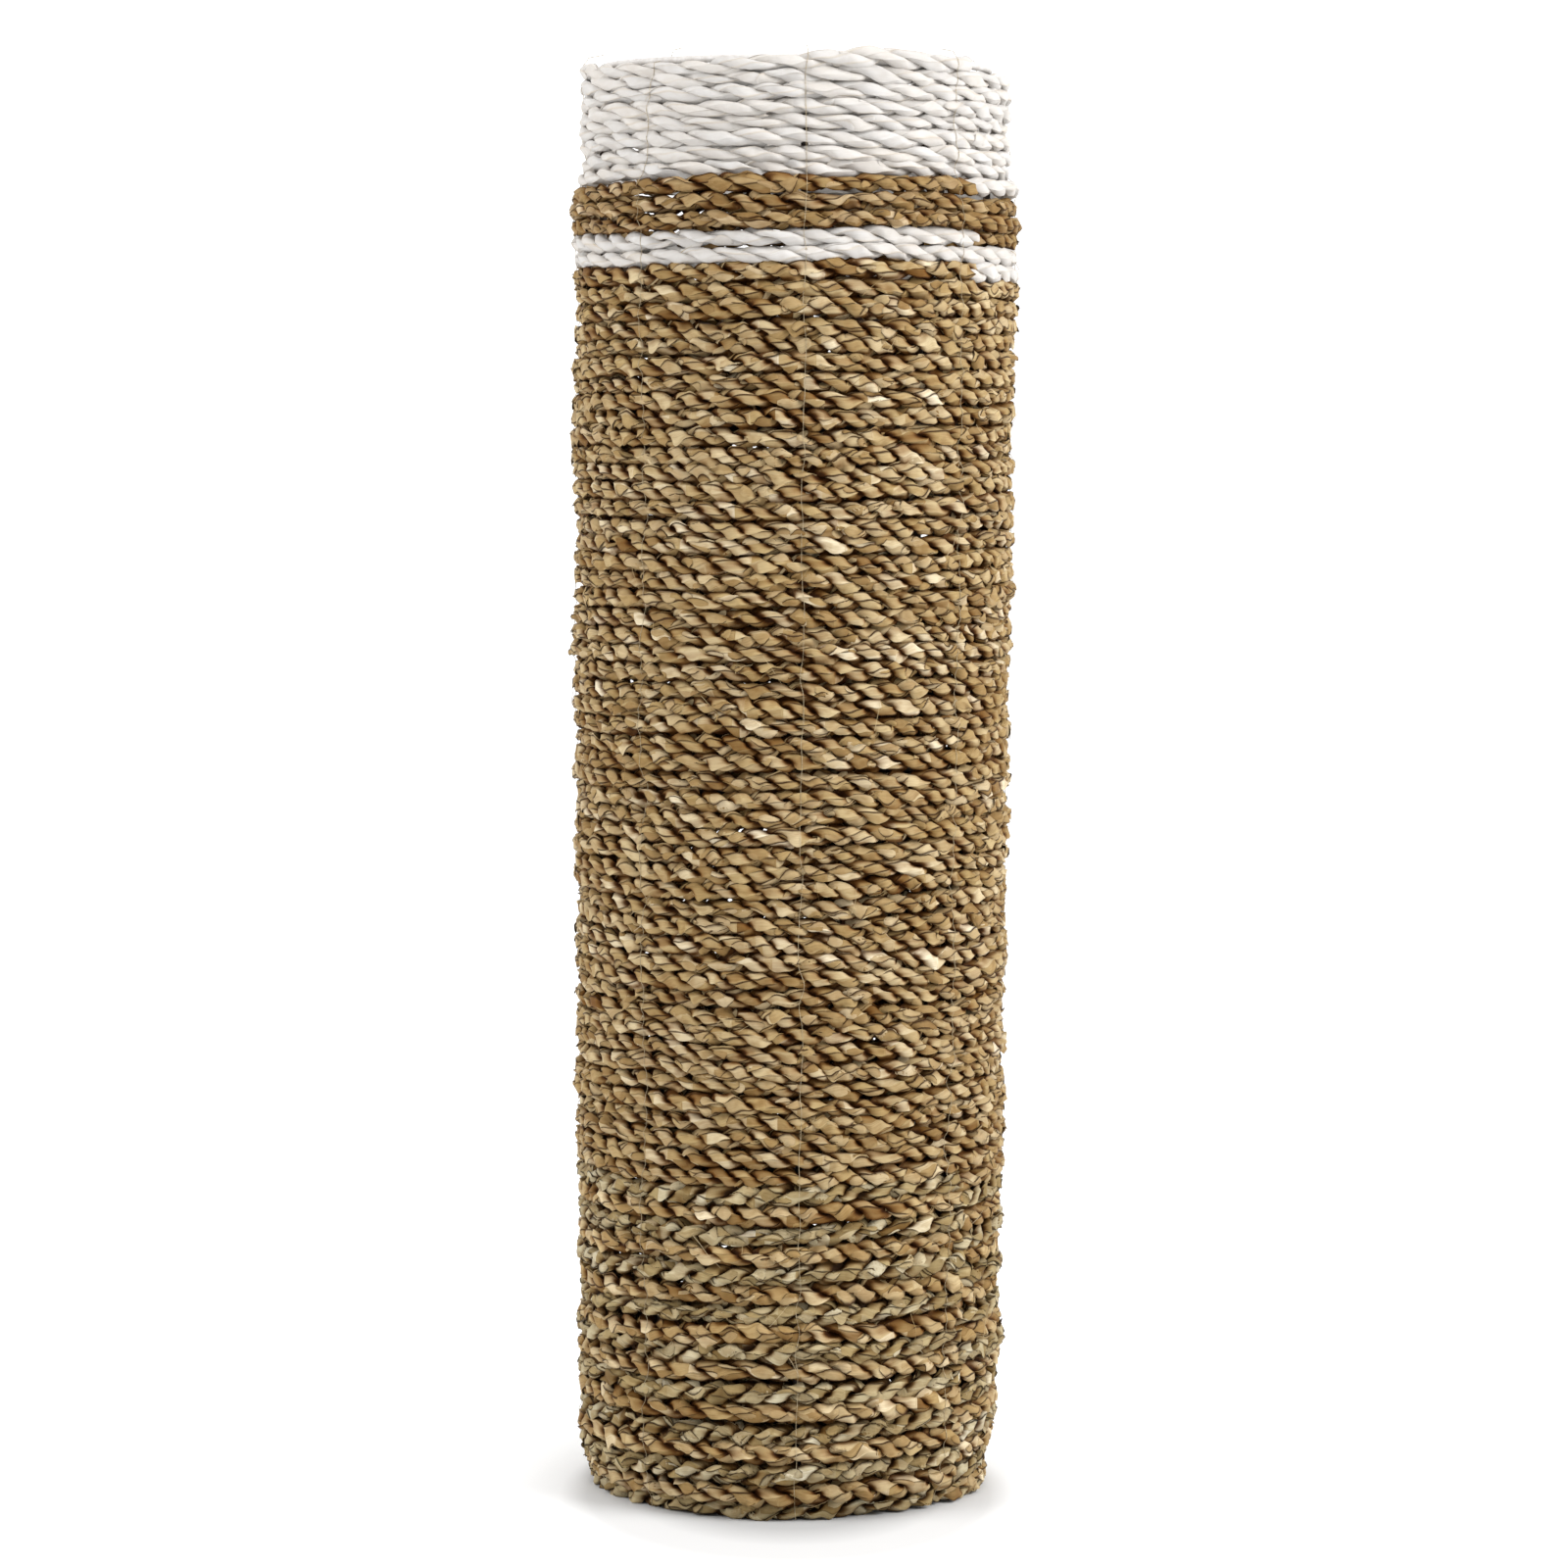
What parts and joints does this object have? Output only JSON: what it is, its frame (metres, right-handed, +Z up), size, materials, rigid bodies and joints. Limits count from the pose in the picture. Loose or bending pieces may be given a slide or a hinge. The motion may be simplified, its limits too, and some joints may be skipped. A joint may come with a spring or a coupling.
{
  "type": "woven floor basket",
  "caption": "Tall slim round basket of twisted leaf rope wound in rows round a wire frame, with a pale rim and stripe, a brown band and a grey and tan foot.",
  "frame": {"origin": "centre of the flat underside", "axes": "+Z up, along the basket's axis; -Y is the front, where the middle thread seam is"},
  "size_m": [0.2548, 0.2548, 0.8016],
  "materials": {
    "natural_rope": "matte",
    "tan_rope": "matte",
    "grey_rope": "matte",
    "band_rope": "matte",
    "white_rope": "matte",
    "base_rope": "matte",
    "frame_wire": "satin",
    "thread": "satin"
  },
  "bodies": {
    "root": {"base_mat": "base_rope", "foot_rope_grey": "grey_rope", "foot_rope_tan": "tan_rope", "body_rope": "natural_rope", "stripe_rope": "white_rope", "band_rope": "band_rope", "rim_rope": "white_rope", "upright_1": "frame_wire", "upright_2": "frame_wire", "upright_3": "frame_wire", "upright_4": "frame_wire", "upright_5": "frame_wire", "upright_6": "frame_wire", "upright_7": "frame_wire", "upright_8": "frame_wire", "rim_hoop": "frame_wire", "upper_hoop": "frame_wire", "middle_hoop": "frame_wire", "lower_hoop": "frame_wire", "base_hoop": "frame_wire", "base_bar_lower": "frame_wire", "base_bar_upper": "frame_wire", "seam_thread_1": "thread", "seam_thread_2": "thread", "seam_thread_3": "thread", "seam_thread_4": "thread", "seam_thread_5": "thread", "seam_thread_6": "thread", "seam_thread_7": "thread", "seam_thread_8": "thread"}
  },
  "joints": []
}
